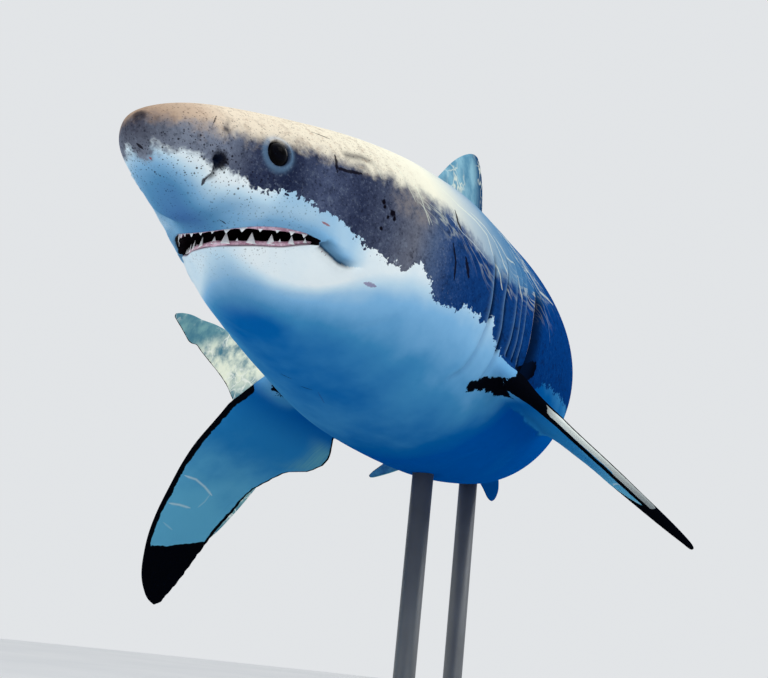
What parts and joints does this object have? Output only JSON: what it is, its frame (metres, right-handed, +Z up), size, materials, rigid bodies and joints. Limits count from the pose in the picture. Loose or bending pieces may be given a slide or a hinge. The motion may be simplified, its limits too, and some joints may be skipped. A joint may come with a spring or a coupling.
{
  "type": "great white shark",
  "caption": "Life-size great white shark turning as it swims, mouth a little open, held up by two rods on a flat display base.",
  "frame": {"origin": "middle of the stand's underside, on the floor", "axes": "+Z up; +X towards the shark's snout, the way the head points; +Y to the shark's left at the head; the body and tail curve towards -Y"},
  "size_m": [2.7761, 2.8417, 2.157],
  "materials": {
    "skin_back": "slate grey wet skin, satin",
    "skin_belly": "white to pale blue wet skin, satin",
    "skin_fin": "blue wet skin with black tip and margins, satin",
    "eye": "black, glossy",
    "stand": "dark grey, satin"
  },
  "bodies": {
    "root": {"head": "skin_back", "lower_jaw": "skin_belly", "eye_left": "eye", "eye_right": "eye", "gill_region": "skin_back", "chest": "skin_back", "trunk": "skin_back", "tail_stock": "skin_back", "pectoral_fin_left": "skin_fin", "pectoral_fin_right": "skin_fin", "pelvic_fin_left": "skin_fin", "pelvic_fin_right": "skin_fin", "first_dorsal_fin": "skin_back", "second_dorsal_fin": "skin_back", "anal_fin": "skin_back", "caudal_fin_upper_lobe": "skin_back", "caudal_fin_lower_lobe": "skin_back", "stand_base": "stand", "stand_rod_front": "stand", "stand_rod_rear": "stand"}
  },
  "joints": []
}
